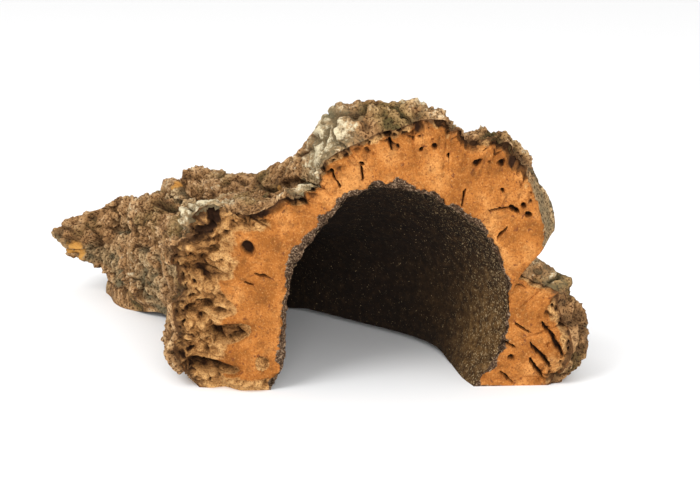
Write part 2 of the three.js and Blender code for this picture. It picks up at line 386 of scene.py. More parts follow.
# Chunks: their size, how much they differ in height, and how deep the gaps between them are.
CHUNK_LAYERS = [(10.0, 2.2, 1.3), (4.6, 1.2, 0.8)]
CHUNK_BEND = 4
CHUNK_BEND_SIZES = (5, 5, 4)
SPLIT_SIZE = 12
SPLIT_LENGTH = 42
SPLIT_WIDTH = 0.07
SPLIT_DEPTH = 4.2
SPLIT_BEND = 2
SPLIT_BEND_SIZE = 9
CALM_SIZE = 34
CALM_SHARE = 0.5
LIVELY_SHARE = 1.1
# Pits: how far apart, their radius as a share of that, and their depth.
PIT_SPACING = 6.5
PIT_RADIUS = 0.5
PIT_DEPTH = 3.6
RIB_SPACING = 5.5
RIB_HEIGHT = 1.6
RIB_WANDER = 1.7
RIB_WANDER_SIZE = 13
RIB_PATCH_SIZE = 25
RIBS_BELOW = (30, 75)
# Two short knobs at the spur's tip: centre, radius, rise.
SPUR_KNOBS = [((-198, 176, 33), 9, 5.0), ((-184, 172, 38), 9, 3.5)]
# The cut's edge stands up in two lips, on the left shoulder and left of the crown: centre, radius, rise.
LIPS = [((-52, 0, 93), 13, 12), ((-30, 0, 118), 11, 7)]
# The cut's right edge is rolled back between these places round the section. Its skin is smooth there, and
# is the crust's own again between these distances behind the cut.
ROLLED = (0.69, 0.74, 0.815, 0.832)
ROLLED_DEPTH = 10
ROLLED_ENDS = (8, 30)


def layered(p, layers, stretch=1.25):
    height = 0
    for size, depth in layers:
        a = along_grain(p) / (size * stretch) + size
        height = height + depth * noise(a, across_grain(p) / size, p[..., 2] / size)
    return height


def crested(p, layers):
    """Sharp crests with rounded hollows between them, as in crumbling cork."""
    height = 0
    for size, depth in layers:
        a = along_grain(p) / (size * 1.3) + size
        height = height + depth * (0.35 - np.abs(noise(a, across_grain(p) / size, p[..., 2] / size)))
    return height


def bends(x, y, z):
    """Three noises side by side, which bend straight cells into crumbly ones."""
    return np.stack([noise(x + n, y, z) for n in (0.5, 20.5, 40.5)], axis=-1)


def spot_in_cell(cell, steps, lift):
    """The one repeatable spot in each cell of a lattice."""
    return [
        corner_value(cell[..., 0] + steps[0] * n, cell[..., 1] + steps[1] * n, cell[..., 2] + lift)
        for n in (1, 2, 3)
    ]


def pit_share(p, spacing, radius):
    """1 in the middle of scattered round pits, 0 outside them. Each cell of a lattice holds one pit."""
    q = np.stack([along_grain(p), across_grain(p), p[..., 2]], axis=-1) / spacing
    cell = np.floor(q)
    nearest = np.full(q.shape[:-1], 9.0)
    for offset in np.ndindex(3, 3, 3):
        c = cell + np.array(offset) - 1
        spot = spot_in_cell(c, (31, 17), 7)
        size = 0.45 + 0.75 * corner_value(c[..., 0], c[..., 1] + 91, c[..., 2])
        gap = np.sqrt(((q - c - np.stack(spot, axis=-1)) ** 2).sum(axis=-1))
        nearest = np.minimum(nearest, gap / size)
    return 1 - smooth(nearest, 0.35 * radius, radius)


def chunks(p, size, gap=0.22):
    """Crumbly chunks: each one's own number from 0 to 1, and 1 where a gap parts two of them."""
    q = np.stack([along_grain(p) / 1.25, across_grain(p), p[..., 2]], axis=-1) / size
    cell = np.floor(q)
    nearest, second = np.full(q.shape[:-1], 9.0), np.full(q.shape[:-1], 9.0)
    own = np.zeros(q.shape[:-1])
    for offset in np.ndindex(3, 3, 3):
        c = cell + np.array(offset) - 1
        spot = spot_in_cell(c, (37, 11), 3)
        away = np.sqrt(((q - c - np.stack(spot, axis=-1)) ** 2).sum(axis=-1))
        second = np.where(away < nearest, nearest, np.minimum(second, away))
        own = np.where(away < nearest, spot[0], own)
        nearest = np.minimum(nearest, away)
    return own, 1 - smooth(second - nearest, 0, gap)


def cleft_share(along, across, up):
    """1 in the long splits that follow the grain, 0 beside them."""
    bend = SPLIT_BEND * noise(along / SPLIT_BEND_SIZE, up / SPLIT_BEND_SIZE, 3)
    split = noise(along / SPLIT_LENGTH + 5, (across + bend) / SPLIT_SIZE, up / SPLIT_SIZE)
    return np.exp(-((split / SPLIT_WIDTH) ** 2))


def ribbed_share(along, across, up):
    patchy = noise(along / RIB_PATCH_SIZE, across / RIB_PATCH_SIZE, up / RIB_PATCH_SIZE)
    return (1 - smooth(up, *RIBS_BELOW)) * np.clip(0.6 + patchy, 0, 1)


def crust(p):
    """Height of the outer skin's crust and how sunken it is, from 0 to 1."""
    along, across, up = along_grain(p), across_grain(p), p[..., 2]
    ribbed = ribbed_share(along, across, up)
    x, y, z = (p[..., axis] / RIB_WANDER_SIZE for axis in range(3))
    wander = RIB_WANDER * noise(x, y, z)
    ribs = RIB_HEIGHT * ribbed * np.sin(2 * math.pi * (along / RIB_SPACING + wander))
    height = crested(p, CREST_LAYERS) + layered(p, CRUST_LAYERS)
    bent = p + CHUNK_BEND * bends(*(p[..., axis] / CHUNK_BEND_SIZES[axis] for axis in range(3)))
    for size, rise, gap_depth in CHUNK_LAYERS:
        own, gap = chunks(bent, size)
        height = height + rise * (own - 0.5) - gap_depth * (gap - 0.25)
    calm = smooth(noise(along / (1.6 * CALM_SIZE), across / CALM_SIZE, up / CALM_SIZE + 7), -0.3, 0.3)
    height = height * mix(CALM_SHARE, LIVELY_SHARE, calm) * (1 - 0.5 * ribbed) + ribs
    height = height - SPLIT_DEPTH * (cleft_share(along, across, up) - 0.1)
    height = height - PIT_DEPTH * pit_share(p, PIT_SPACING, PIT_RADIUS)
    sunken = np.clip(0.4 - height / 7, 0, 1)
    for centre, radius, rise in SPUR_KNOBS:
        height = height + rise * bump_at(p, centre, radius)
    return height, sunken


def rolled_share(rounds):
    return smooth(rounds, ROLLED[0], ROLLED[1]) * (1 - smooth(rounds, ROLLED[2], ROLLED[3]))


def rim_fade(rounds):
    """0 on the two rims, 1 from a little above them on."""
    return smooth(np.minimum(rounds, 1 - rounds) * SKIN_LENGTH, 0, RIM_FADE_LENGTH)


def grid_normals(points):
    normal = np.cross(np.gradient(points, axis=1), np.gradient(points, axis=0))
    return normal / (np.linalg.norm(normal, axis=-1, keepdims=True) + 1e-9)


def relieved(plain, height, lips, rolled_back):
    """Points pushed out by their relief, which is lower at the cut and fades at the rims."""
    height = height * rim_fade(round_grid) * (0.55 + 0.45 * smooth(behind_mouth, 0, 6))
    points = plain + grid_normals(plain) * (height + lips)[..., None]
    points[..., 1] += rolled_back
    points[..., 2] = np.maximum(points[..., 2], plain[..., 2].min())
    return points


round_grid, along_grid = np.meshgrid(ROUNDS, ALONGS)
behind_mouth = along_grid * SPINE_LENGTH
skin_plain = bark_point(round_grid, along_grid, np.ones(round_grid.shape))
skin_relief, skin_sunken = crust(skin_plain)
rolled_skin = rolled_share(round_grid) * (1 - smooth(behind_mouth, *ROLLED_ENDS))
skin_relief = skin_relief * (1 - 0.8 * rolled_skin)
lips = sum(rise * bump_at(skin_plain, centre, radius) for centre, radius, rise in LIPS)
skin = relieved(skin_plain, skin_relief, lips, ROLLED_DEPTH * rolled_skin)

# The fibrous lining
# The inner face lay against the wood. It is rough with fibres, which stand up at the cut and lie down
# further in.

LINING_LAYERS = [(7.0, 0.8)]
FIBRE_LAYERS = [(3.1, 0.7), (1.6, 0.45)]
FIBRE_STRETCH = 1.6
FIBRES_AT_CUT = 2.2

lining_plain = bark_point(round_grid, along_grid, np.zeros(round_grid.shape))
standing = FIBRES_AT_CUT - 1.2 * smooth(behind_mouth, 0, 8) - 0.8 * smooth(behind_mouth, 15, 60)
lining_relief = layered(lining_plain, LINING_LAYERS, FIBRE_STRETCH)
lining_relief = lining_relief + layered(lining_plain, FIBRE_LAYERS, FIBRE_STRETCH) * standing
lining_sunken = np.clip(0.5 - lining_relief / 3, 0, 1)
lining = relieved(lining_plain, lining_relief, 0, 0)

# The sawn face
# The saw left a flat face across the wall. It shows insect holes, drying cracks and pits of the crust that
# the saw went through. It has crumbled at the left foot, and lining fibres fringe its inner edge.

CELLS_THROUGH = 90
THICKS = np.linspace(0, 1, CELLS_THROUGH + 1)
WALL = 34
FACE_EDGE = 0.03

# Round holes in the cut: x, z, radius.
HOLES = [
    (-73.5, 74.7, 3.7),
    (64.9, 95.2, 1.5),
    (67.1, 90.6, 1.7),
    (-4.3, 132.5, 2.2),
    (40.6, 118.1, 2.2),
    (51.6, 115.5, 1.7),
    (18.9, 125.1, 1.5),
    (26.8, 121.6, 1.3),
    (12.5, 124.1, 1.1),
    (-28.9, 113.1, 1.1),
    (-16.6, 116.6, 1.2),
    (59.5, 15.1, 1.8),
    (53.8, 102.9, 1.2),
]
HOLE_DEPTH = 6
# Drying cracks in the cut: start, end and greatest width.
CRACKS = [
    ((76.2, 34.5), (85.4, 15.1), 2.6),
    ((68.9, 23.1), (79.5, 9.7), 2.2),
    ((68.1, 15.1), (77.2, 2.6), 2.0),
    ((61.0, 33.8), (70.3, 28.5), 1.1),
    ((55.2, 24.2), (61.4, 20.5), 1.2),
    ((54.0, 8.7), (60.8, 1.0), 1.1),
    ((57.5, 95.2), (62.5, 92.0), 3.0),
    ((46.5, 92.0), (58.5, 94.7), 1.1),
    ((57.3, 84.5), (51.4, 78.3), 1.2),
    ((35.2, 105.5), (33.1, 95.5), 1.0),
    ((-28.9, 113.5), (-26.5, 104.5), 1.0),
    ((-16.6, 116.0), (-15.5, 108.0), 1.0),
    ((-3.5, 131.0), (-2.0, 124.0), 1.3),
    ((-71.0, 61.5), (-63.0, 60.0), 1.0),
    ((-76.0, 57.0), (-71.0, 56.0), 1.1),
]
CRACK_DEPTH = 6.5
# Round brown spots in the cut: x, z, radius.
SPOTS = [(-67.3, 14.0, 4.2)]
# A brown recess in the left shoulder's lip: its place and half lengths as shares of the cut, and its depth.
SHOULDER_RECESS = {"rounds": 0.352, "thick": 0.76, "long": 0.016, "high": 0.16, "depth": 6}
# Small pits near the skin: spacing, radius as a share of it, and the part of the wall where they come in.
EDGE_PITS = [(5.2, 0.4, (0.55, 0.8)), (3.2, 0.42, (0.78, 0.92))]
EDGE_PIT_DEPTH = 3.5
# Short dark streaks run through the wall of the crown: width, length and depth.
STREAK_WIDTH = 2.4
STREAK_LENGTH = 6
STREAK_DEPTH = 0.6
BLOTCH_SIZE = 5.5
MOUTH_BEND = 1.6
MOUTH_BEND_SIZE = 2.6
# The left foot stands forward on a low toe, and the right foot's outer corner is worn.
TOE_BELOW = (4, 8)
TOE_FORWARD = 2.5
CORNER_FROM = (72, 84)
CORNER_BELOW = (14, 26)
# Crags where the face has crumbled: width, height, depth and a number that sets them apart.
CRUMBLED_CRAGS = [(9, 6, 3.6, 1.5), (3.6, 3, 2.0, 8)]
# Crumbs on the crags: size, rise, gap depth and pit depth. The level sets the crags back to the face.
CRUMB_SIZE = 5.5
CRUMB_RISE = 3.2
CRUMB_GAP = 1.8
CRUMB_PIT = 2.6
CRAG_LEVEL = 3.4
HOLLOW_STEP = 3
SKIN_BITE_DEPTH = 2
TORN_FIBRE_SIZE = 2.4
SAW_MARK_SIZE = 1.1
SAW_MARK_DEPTH = 0.3
ROLLED_FROM = (0.88, 0.66)
FRINGE_WIDTH = 2.6
FRINGE_RAGGED = 1.3
FRINGE_WANDER_SIZE = 9
# Places where the fringe is wider: centre, radius and by how much.
WIDE_FRINGES = [((-50, 0, 68), 13, 1.3), ((-58, 0, 12), 12, 1.0), ((-4, 0, 98), 26, 0.5)]


def cross_grid(places, cross, skin_edge, lining_edge):
    """A side that spans the wall, fitted between the relieved edges of the lining and the skin."""
    grid, thicks = np.meshgrid(places, THICKS)
    plain = cross(grid, thicks)
    t = thicks[..., None]
    return plain + (skin_edge - plain[-1]) * t + (lining_edge - plain[0]) * (1 - t), grid, thicks


def hole_and_crack_depth(x, z):
    wobble = 0.5 * noise(x / 2.2, z / 2.2, 7.7)
    depth = 0
    for hx, hz, radius in HOLES:
        gap = np.hypot(x - hx, z - hz) + wobble * 0.7
        depth = np.maximum(depth, HOLE_DEPTH * (1 - smooth(gap, radius * 0.55, radius * 1.1)))
    for start, end, width in CRACKS:
        (x0, z0), (x1, z1) = start, end
        length = math.hypot(x1 - x0, z1 - z0)
        s = ((x - x0) * (x1 - x0) + (z - z0) * (z1 - z0)) / length**2
        off = ((x - x0) * (z1 - z0) - (z - z0) * (x1 - x0)) / length + wobble
        half = 0.5 * width * np.sqrt(np.clip(4 * s * (1 - s), 0, 1)) + 1e-6
        open_share = (1 - smooth(np.abs(off), half * 0.4, half * 1.25)) * (half > 0.1)
        depth = np.maximum(depth, CRACK_DEPTH * open_share)
    return depth


mouth, mouth_rounds, mouth_thicks = cross_grid(
    ROUNDS, lambda r, t: bark_point(r, np.zeros_like(r), t), skin[0], lining[0]
)
mouth_x, mouth_z = mouth_xz(mouth_rounds, mouth_thicks)
flat_mouth = np.stack([mouth_x, 0 * mouth_x, mouth_z], axis=-1)
mouth_bends = bends(mouth_x / MOUTH_BEND_SIZE, 0.5, mouth_z / MOUTH_BEND_SIZE)
bent_mouth = flat_mouth + MOUTH_BEND * mouth_bends
inside = smooth(mouth_thicks, 0, FACE_EDGE) * smooth(1 - mouth_thicks, 0, FACE_EDGE)
inside = inside * rim_fade(mouth_rounds)

# Holes, cracks, pits, streaks and blotches.
marks = hole_and_crack_depth(mouth_x, mouth_z)
skin_bite = smooth(mouth_thicks + 0.12 * noise(mouth_x / 5, mouth_z / 5, 9.1), 0.82, 1)
edge_pits = 0
for number, (spacing, radius, comes_in) in enumerate(EDGE_PITS):
    pits = pit_share(bent_mouth + 50 * number, spacing, radius) * smooth(mouth_thicks, *comes_in)
    edge_pits = np.maximum(edge_pits, pits)
streaks = noise(mouth_rounds * SKIN_LENGTH / STREAK_WIDTH, mouth_thicks * WALL / STREAK_LENGTH, 3.3)
streaks = smooth(streaks, 0.32, 0.5) * smooth(mouth_thicks, 0.25, 0.6) * smooth(mouth_z, 60, 100)
blotches = noise(bent_mouth[..., 0] / BLOTCH_SIZE, bent_mouth[..., 2] / BLOTCH_SIZE, 1.1)
blotches = 0.9 * smooth(blotches, 0.12, 0.26) * smooth(mouth_thicks, 0.72, 0.9) * smooth(mouth_z, 60, 90)
edge_pits = np.maximum(edge_pits, blotches)

# Where the face has crumbled, from 0 to 1.
hollow = hollow_depth(mouth_rounds, mouth_thicks)
hollow_wall = smooth(hollow, 3.0, 4.6)
toe = 1 - smooth(mouth_z + 2.5 * noise(mouth_x / 5, 0.5, 0.5), *TOE_BELOW)
toe = toe * (1 - smooth(mouth_rounds, 0.3, 0.4))
corner = smooth(mouth_x + 5 * noise(mouth_x / 6, mouth_z / 6, 6.5), *CORNER_FROM)
corner = corner * (1 - smooth(mouth_z, *CORNER_BELOW))
broken = broken_share(mouth_rounds, mouth_thicks + 0.1 * noise(mouth_x / 7, mouth_z / 6, 4.4))
crumbled = np.max([broken, hollow_wall, toe, 0.5 * corner], axis=0)
for spot_x, spot_z, radius in SPOTS:
    spot = 1 - smooth(np.hypot(mouth_x - spot_x, mouth_z - spot_z), 0.75 * radius, radius)
    crumbled = np.maximum(crumbled, 0.9 * spot)
off_round = (mouth_rounds - SHOULDER_RECESS["rounds"]) / SHOULDER_RECESS["long"]
off_thick = (mouth_thicks - SHOULDER_RECESS["thick"]) / SHOULDER_RECESS["high"]
shoulder = np.exp(-((off_round * off_round + off_thick * off_thick) ** 2))
crumbled = np.maximum(crumbled, 0.9 * shoulder)

# The crumbled places' own relief, and that of the whole face.
slanted = [0.8 * mouth_x + 0.3 * mouth_z, 0 * mouth_x, mouth_z - 0.3 * mouth_x]
chunk, gap = chunks(np.stack(slanted, axis=-1) + 1.3 * mouth_bends, CRUMB_SIZE)
crags = 0
for wide, high, depth, apart in CRUMBLED_CRAGS:
    crags = crags + depth * np.abs(noise(mouth_x / wide, mouth_z / high, apart))
crumb_pits = pit_share(bent_mouth, CRUMB_SIZE, 0.55)
crags += CRUMB_RISE * chunk + CRUMB_GAP * gap + CRUMB_PIT * crumb_pits - CRAG_LEVEL
torn_fibres = FIBRES_AT_CUT * (1 - smooth(mouth_thicks, 0.02, 0.09))
torn_fibres = torn_fibres * (0.6 + noise(mouth_x / TORN_FIBRE_SIZE, mouth_z / TORN_FIBRE_SIZE, 2.2))
saw_marks = SAW_MARK_DEPTH * noise(mouth_x / SAW_MARK_SIZE, mouth_z / SAW_MARK_SIZE, 4.5)
recess = marks + EDGE_PIT_DEPTH * edge_pits + STREAK_DEPTH * streaks + crumbled * crags
recess = recess + HOLLOW_STEP * hollow_wall + torn_fibres + saw_marks
recess += SHOULDER_RECESS["depth"] * shoulder
rolled_from = mix(*ROLLED_FROM, smooth(mouth_rounds, ROLLED[0], ROLLED[2]))
rolled_face = rolled_share(mouth_rounds) * smooth(mouth_thicks - rolled_from, 0, 1 - rolled_from)
plain_face = 1 - smooth(rolled_face, 0, 0.1)
mouth[..., 1] += inside * plain_face * (recess + SKIN_BITE_DEPTH * skin_bite - TOE_FORWARD * toe)
mouth[..., 1] += ROLLED_DEPTH * (rolled_face - rolled_share(mouth_rounds) * mouth_thicks)

# How dark each place is painted, which is painted shade in the holes, cracks, pits, crags and hollows by
# their depth and, in part, the crown's own dark streaks and blotches; how worn each place is; and how far
# the lining's fringe covers it.
cavity = marks / 5 + 0.85 * edge_pits + 0.55 * streaks + crumbled * np.clip(0.15 + crags / 13, 0, 1)
cavity += 0.06 * np.maximum(hollow - 3, 0) + 0.4 * shoulder
cavity = np.clip(mix(0.5, cavity, plain_face), 0, 1)
worn_face = np.maximum(crumbled, 0.8 * skin_bite)
inner_x, inner_z = mouth_xz(mouth_rounds, 0 * mouth_thicks)
from_lining = np.hypot(mouth_x - inner_x, mouth_z - inner_z)
from_lining = from_lining + FRINGE_RAGGED * noise(mouth_x / 2.4, mouth_z / 2.4, 5.1)
fringe_wander = noise(mouth_rounds * SKIN_LENGTH / FRINGE_WANDER_SIZE, 0.5, 0.5)
fringe_width = FRINGE_WIDTH * np.clip(1 + 2 * fringe_wander, 0.3, 2)
wide = sum(share * bump_at(flat_mouth, centre, radius) for centre, radius, share in WIDE_FRINGES)
fringe = 1 - smooth(from_lining / (fringe_width * (1 + wide)), 0.5, 1.3)

# The torn far end and the rims
# The far end was torn off, so it is as craggy as the crust. The two long rims are the plain edges of the
# sheet, on which the piece stands.

TORN_EDGE = 0.08

rear, rear_rounds, rear_thicks = cross_grid(
    ROUNDS, lambda r, t: bark_point(r, np.ones_like(r), t), skin[-1], lining[-1]
)
torn_inside = smooth(rear_thicks, 0, TORN_EDGE) * smooth(1 - rear_thicks, 0, TORN_EDGE)
torn_inside = torn_inside * rim_fade(rear_rounds)
torn = crested(rear, CREST_LAYERS) + layered(rear, CRUST_LAYERS)
rear = rear - grid_normals(rear) * (torn_inside * torn)[..., None]
rims = []
for foot, edge in ((0.0, 0), (1.0, -1)):
    rim, _, _ = cross_grid(
        ALONGS, lambda a, t: bark_point(np.full(a.shape, foot), a, t), skin[:, edge], lining[:, edge]
    )
    rims.append(rim)

# One closed mesh
# The real piece is one body of cork, so its six sides are joined along their edges into one skin, which is
# thinned where it is flat. Marks on its points tell the surfaces how sunken, worn or stained each place is,
# and where shade and light are painted on them.

FACE_LIMIT = 190000
SHARP_FROM = math.radians(55)
BARK_SLOT, CUT_SLOT, LINING_SLOT = 0, 1, 2
# Wall is the place from the lining (0) to the skin (1). Coat is lichen on the crust and painted light on
# the lining.
# Worn is wear on the sawn face and nearness to the mouth on the lining.
MARK_NAMES = ("sunken", "wear_and_mouth_light", "wall", "fringe", "lichen_and_painted_light", "ochre")

# Where lichen films the crust: centre, radius and share, as in the lists that follow.
LICHEN = [
    ((-36, 12, 126), 19, 1.0),
    ((-46, 8, 106), 12, 0.7),
    ((-97, 16, 92), 16, 0.9),
    ((-150, 130, 24), 12, 0.3),
    ((82, 6, 62), 15, 0.4),
    ((20, 30, 140), 26, 0.45),
    ((60, 120, 60), 30, 0.5),
    ((-60, 150, 80), 26, 0.5),
]
# Painted shade: where the crust is painted darker than elsewhere, low on the right foot's outer side and at
# the spur's tip.
PAINTED_SHADE_PLACES = [((94, 4, 28), 24, 0.2), ((-194, 176, 33), 20, 0.12)]
# Where the outer crust has chipped off and shows ochre cork.
CHIPS = [
    ((-126, 140, 76), 6, 1.0),
    ((-187, 170, 27), 8, 1.0),
    ((30, 14, 136), 6, 0.8),
    ((-60, 40, 92), 7, 0.7),
]
# Painted light: where the stained lining is painted a lighter, warmer brown, near the mouth on its right
# side.
LINING_LIGHT_PATCHES = [((50, 25, 20), 34, 1.0), ((30, 60, 30), 22, 0.5)]


def side_marks(side, sunken=0.0, wear_and_mouth_light=0.0, wall=0.0, fringe=0.0, lichen_and_painted_light=0.0, ochre=0.0):
    values = (sunken, wear_and_mouth_light, wall, fringe, lichen_and_painted_light, ochre)
    return np.stack([np.broadcast_to(v, side.shape[:2]) for v in values], axis=-1)


def patchy(places, points):
    return np.max([share * bump_at(points, centre, radius) for centre, radius, share in places], axis=0)


near_mouth = 1 - smooth(behind_mouth, 0, 90)
# The skin's sunken mark holds how sunken each place is and, added to it, the painted shade of the places
# above.
sunken_and_painted_shade = skin_sunken + patchy(PAINTED_SHADE_PLACES, skin_plain)
skin_marks = side_marks(skin, sunken_and_painted_shade, 0, 1, 0, patchy(LICHEN, skin_plain), patchy(CHIPS, skin_plain))
# On the lining the worn mark is nearness to the mouth, which sets the painted shade further in and the
# dust.
lining_marks = side_marks(lining, lining_sunken, near_mouth, 0, 1, patchy(LINING_LIGHT_PATCHES, lining_plain))
mouth_marks = side_marks(mouth, inside * cavity, worn_face, mouth_thicks, fringe)
rear_marks = side_marks(rear, np.clip(0.4 - torn / 6, 0, 1), 1, rear_thicks)
sides = [
    (skin, skin_marks, BARK_SLOT, False),
    (lining, lining_marks, LINING_SLOT, True),
    (mouth, mouth_marks, CUT_SLOT, False),
    (rear, rear_marks, BARK_SLOT, True),
    (rims[0], side_marks(rims[0], 0.5, 0.5, 0.5), LINING_SLOT, True),
    (rims[1], side_marks(rims[1], 0.5, 0.5, 0.5), LINING_SLOT, False),
]
MOUTH_SIDE = 2

points, point_marks, quads, slots = [], [], [], []
for grid, side_mark, slot_number, turned in sides:
    first = sum(len(part) for part in points)
    rows, columns = grid.shape[:2]
    ids = first + np.arange(rows * columns).reshape(rows, columns)
    corners = [ids[:-1, :-1], ids[:-1, 1:], ids[1:, 1:], ids[1:, :-1]]
    quad = np.stack([c.ravel() for c in corners], axis=-1)
    quads.append(quad[:, ::-1] if turned else quad)
    slots.append(np.full((rows - 1, columns - 1), slot_number))
    points.append(grid.reshape(-1, 3))
    point_marks.append(side_mark.reshape(-1, len(MARK_NAMES)))
slots[MOUTH_SIDE][rolled_face[:-1, :-1] > 0.08] = BARK_SLOT
slots = np.concatenate([side_slots.ravel() for side_slots in slots])

# Points that lie within a micrometre of each other become one.
points = np.concatenate(points)
micrometres = np.round(points * 1000).astype(np.int64)
_, keep, same = np.unique(micrometres, axis=0, return_index=True, return_inverse=True)
quads = same.reshape(-1)[np.concatenate(quads)]
points = points[keep]
point_marks = np.concatenate(point_marks)[keep]

mesh = bpy.data.meshes.new("cork_bark_dense")
mesh.from_pydata((points - np.array([*MIDDLE, 0])) / 1000, [], quads)
mesh.polygons.foreach_set("material_index", slots)
for name, values in zip(MARK_NAMES, point_marks.T):
    mesh.attributes.new(name, "FLOAT", "POINT").data.foreach_set("value", values)
mesh.validate()
dense = bpy.data.objects.new("cork_bark_dense", mesh)
bpy.context.scene.collection.objects.link(dense)
thin = dense.modifiers.new("thin", "DECIMATE")
thin.ratio = FACE_LIMIT / (2 * len(mesh.polygons))
bpy.context.view_layer.update()
graph = bpy.context.evaluated_depsgraph_get()
bark_mesh = bpy.data.meshes.new_from_object(dense.evaluated_get(graph), depsgraph=graph)
bpy.data.objects.remove(dense)
bpy.data.meshes.remove(mesh)
bark_mesh.name = "cork_bark_piece"
bark_mesh.shade_smooth()
bark_mesh.set_sharp_from_angle(angle=SHARP_FROM)
bark = bpy.data.objects.new("cork_bark_piece", bark_mesh)
bpy.context.scene.collection.objects.link(bark)
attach(bark, "root")
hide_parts("cork_bark")

# The surfaces
# Cork is a dull, dry tissue that scatters light and has no shine. Its real grit is under half a millimetre
# and would not show in the render, so each surface's finest pattern is drawn at about a millimetre.


def linear(hex_colour):
    values = [int(hex_colour[i : i + 2], 16) / 255 for i in (1, 3, 5)]
    return [v / 12.92 if v <= 0.04045 else ((v + 0.055) / 1.055) ** 2.4 for v in values] + [1]


def add_node(tree, kind, output, inputs=None, stops=(), **settings):
    """Adds a node and returns an output. An input is a value, a hex colour or an output."""
    node = tree.nodes.new(kind)
    for key, value in settings.items():
        setattr(node, key, value)
    for key, value in (inputs or {}).items():
        if isinstance(value, bpy.types.NodeSocket):
            tree.links.new(value, node.inputs[key])
        else:
            node.inputs[key].default_value = linear(value) if isinstance(value, str) else value
    for number, (place, colour) in enumerate(stops):
        element = node.color_ramp.elements[number] if number < 2 else node.color_ramp.elements.new(1)
        element.position = place
        element.color = linear(colour) if isinstance(colour, str) else [colour] * 3 + [1]
    return node.outputs[output]


def new_material(name, roughness):
    """A dull material, its tree and shader, and the place on the bark in millimetres."""
    material = bpy.data.materials.new(name)
    material.use_nodes = True
    tree = material.node_tree
    shader = tree.nodes["Principled BSDF"]
    shader.inputs["Roughness"].default_value = roughness
    shader.inputs["Specular IOR Level"].default_value = 0.15
    metres = add_node(tree, "ShaderNodeTexCoord", "Object")
    to_mm = {0: metres, 1: (1000, 1000, 1000)}
    place = add_node(tree, "ShaderNodeVectorMath", 0, to_mm, operation="MULTIPLY")
    return material, tree, shader, place


# Weathered crust: dry outer cork, split and worn by rain and sun. It is painted pale brown on its crests
# and nearly black in its pits, which is painted highlight and painted shade set by how sunken each place
# is. It is olive or grey in broad patches, painted darker at a few places as painted shade, and filmed here
# and there with pale lichen.
CRUST_PATCH_MM = 34
CRUST_CRUMB_MM = 5
CRUST_GRIT_MM = 1.3
LICHEN_MM = 3.5

crust_material, tree, shader, place = new_material("weathered_cork_crust", 0.95)
sunken = add_node(tree, "ShaderNodeAttribute", "Fac", attribute_name="sunken")
lichen = add_node(tree, "ShaderNodeAttribute", "Fac", attribute_name="lichen_and_painted_light")
patch_pattern = {"Vector": place, "Scale": 1 / CRUST_PATCH_MM, "Detail": 3}
broad = add_node(tree, "ShaderNodeTexNoise", "Fac", patch_pattern)
crumb_pattern = {"Vector": place, "Scale": 1 / CRUST_CRUMB_MM, "Detail": 4}
middle = add_node(tree, "ShaderNodeTexNoise", "Fac", crumb_pattern)
grit_pattern = {"Vector": place, "Scale": 1 / CRUST_GRIT_MM, "Detail": 3, "Roughness": 0.7}
fine = add_node(tree, "ShaderNodeTexNoise", "Fac", grit_pattern)
# Painted highlight and shade: crests are painted pale brown and pits nearly black, by how sunken each place
# is.
low = add_node(tree, "ShaderNodeMix", 0, {0: 0.4, 2: sunken, 3: middle})
painted_highlight_to_shade = [(0.24, "#E0BA8B"), (0.37, "#B18A5E"), (0.48, "#775432"), (0.59, "#261408")]
colour = add_node(tree, "ShaderNodeValToRGB", "Color", {"Fac": low}, painted_highlight_to_shade)
olive_to_grey = [(0.34, "#7D6E43"), (0.44, "#8B6842"), (0.54, "#A57D52"), (0.62, "#A39470")]
patch = add_node(tree, "ShaderNodeValToRGB", "Color", {"Fac": broad}, olive_to_grey)
colour = add_node(tree, "ShaderNodeMix", 2, {0: 0.45, 6: colour, 7: patch}, data_type="RGBA")
dark_to_clear = [(0.4, "#67482A"), (0.52, "#FFFFFF")]
grains = add_node(tree, "ShaderNodeValToRGB", "Color", {"Fac": fine}, dark_to_clear)
speckled = {0: 0.9, 6: colour, 7: grains}
colour = add_node(tree, "ShaderNodeMix", 2, speckled, data_type="RGBA", blend_type="MULTIPLY")
ochre = add_node(tree, "ShaderNodeAttribute", "Fac", attribute_name="ochre")
chip = add_node(tree, "ShaderNodeMath", 0, {0: middle, 1: 0.6, 2: ochre}, operation="MULTIPLY_ADD")
chip = add_node(tree, "ShaderNodeMapRange", 0, {"Value": chip, "From Min": 0.75, "From Max": 0.9})
colour = add_node(tree, "ShaderNodeMix", 2, {0: chip, 6: colour, 7: "#BE8A45"}, data_type="RGBA")
bloom = add_node(tree, "ShaderNodeMath", 0, {0: middle, 1: 0.8, 2: lichen}, operation="MULTIPLY_ADD")
bloom_range = {"Value": bloom, "From Min": 0.54, "From Max": 0.95, "To Max": 0.55}
bloom = add_node(tree, "ShaderNodeMapRange", 0, bloom_range)
colour = add_node(tree, "ShaderNodeMix", 2, {0: bloom, 6: colour, 7: "#82775A"}, data_type="RGBA")
film_pattern = {"Vector": place, "Scale": 1 / LICHEN_MM, "Detail": 6, "Roughness": 0.75}
film = add_node(tree, "ShaderNodeTexNoise", "Fac", film_pattern)
film = add_node(tree, "ShaderNodeMath", 0, {0: low, 1: -0.6, 2: film}, operation="MULTIPLY_ADD")
film = add_node(tree, "ShaderNodeMath", 0, {0: lichen, 1: 0.3, 2: film}, operation="MULTIPLY_ADD")
film = add_node(tree, "ShaderNodeMapRange", 0, {"Value": film, "From Min": 0.39, "From Max": 0.54})
film = add_node(tree, "ShaderNodeMath", 0, {0: film, 1: 0.85}, operation="MULTIPLY")
colour = add_node(tree, "ShaderNodeMix", 2, {0: film, 6: colour, 7: "#D8CBAA"}, data_type="RGBA")
tree.links.new(colour, shader.inputs["Base Color"])
knobby = add_node(tree, "ShaderNodeBump", "Normal", {"Height": middle, "Distance": 0.0012})
